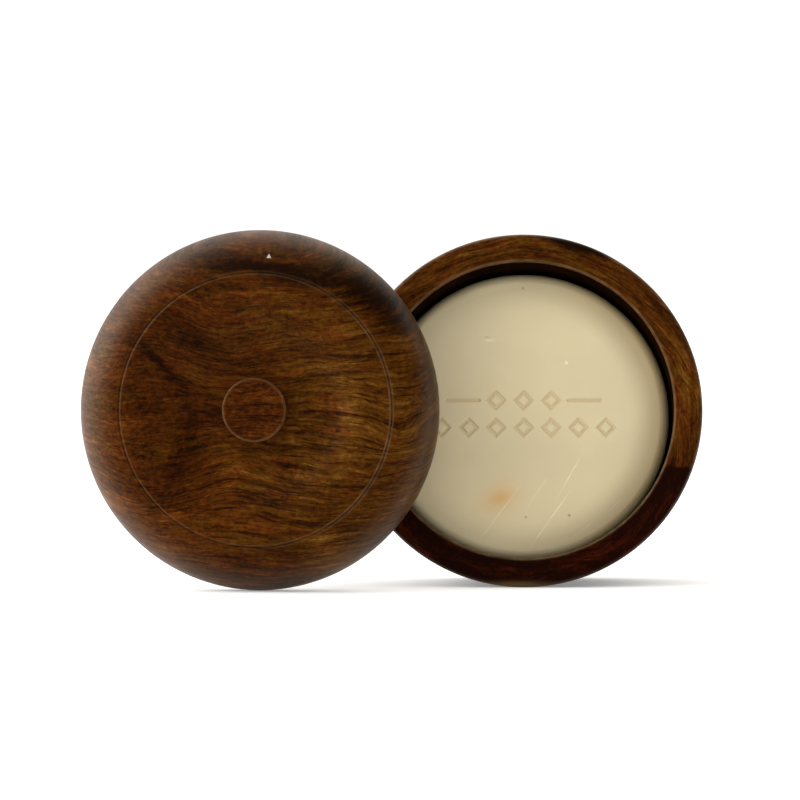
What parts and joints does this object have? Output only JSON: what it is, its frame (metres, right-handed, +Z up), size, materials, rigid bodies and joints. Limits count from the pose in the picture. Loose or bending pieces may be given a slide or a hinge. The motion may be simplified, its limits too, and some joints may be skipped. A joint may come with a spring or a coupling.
{
  "type": "lidded wooden shaving bowl",
  "caption": "Turned dark wood shaving bowl lying with its mouth forward, a round puck of soap in its recess, and a domed lid with a small knob standing on edge beside it.",
  "frame": {"origin": "under the middle of the arrangement's box, on the surface that the bowl and the lid stand on", "axes": "+Z up; -Y toward the viewer, the way the bowl's mouth and the lid's knob face; +X to the viewer's right, from the lid to the bowl"},
  "size_m": [0.1729, 0.0818, 0.0993],
  "materials": {
    "bowl_wood": "satin",
    "lid_wood": "satin",
    "soap": "matte"
  },
  "bodies": {
    "bowl_body": {"bowl": "bowl_wood"},
    "soap_body": {"soap_puck": "soap"},
    "lid_body": {"lid": "lid_wood"}
  },
  "joints": [
    {"name": "soap_lift", "type": "slide", "parent": "bowl_body", "child": "soap_body", "axis": [-0.0223, -0.9827, 0.184], "range_m": [0, 0.02]},
    {"name": "lid_draw", "type": "slide", "parent": "bowl_body", "child": "lid_body", "axis": [0, -1, 0], "range_m": [0, 0.08]}
  ]
}
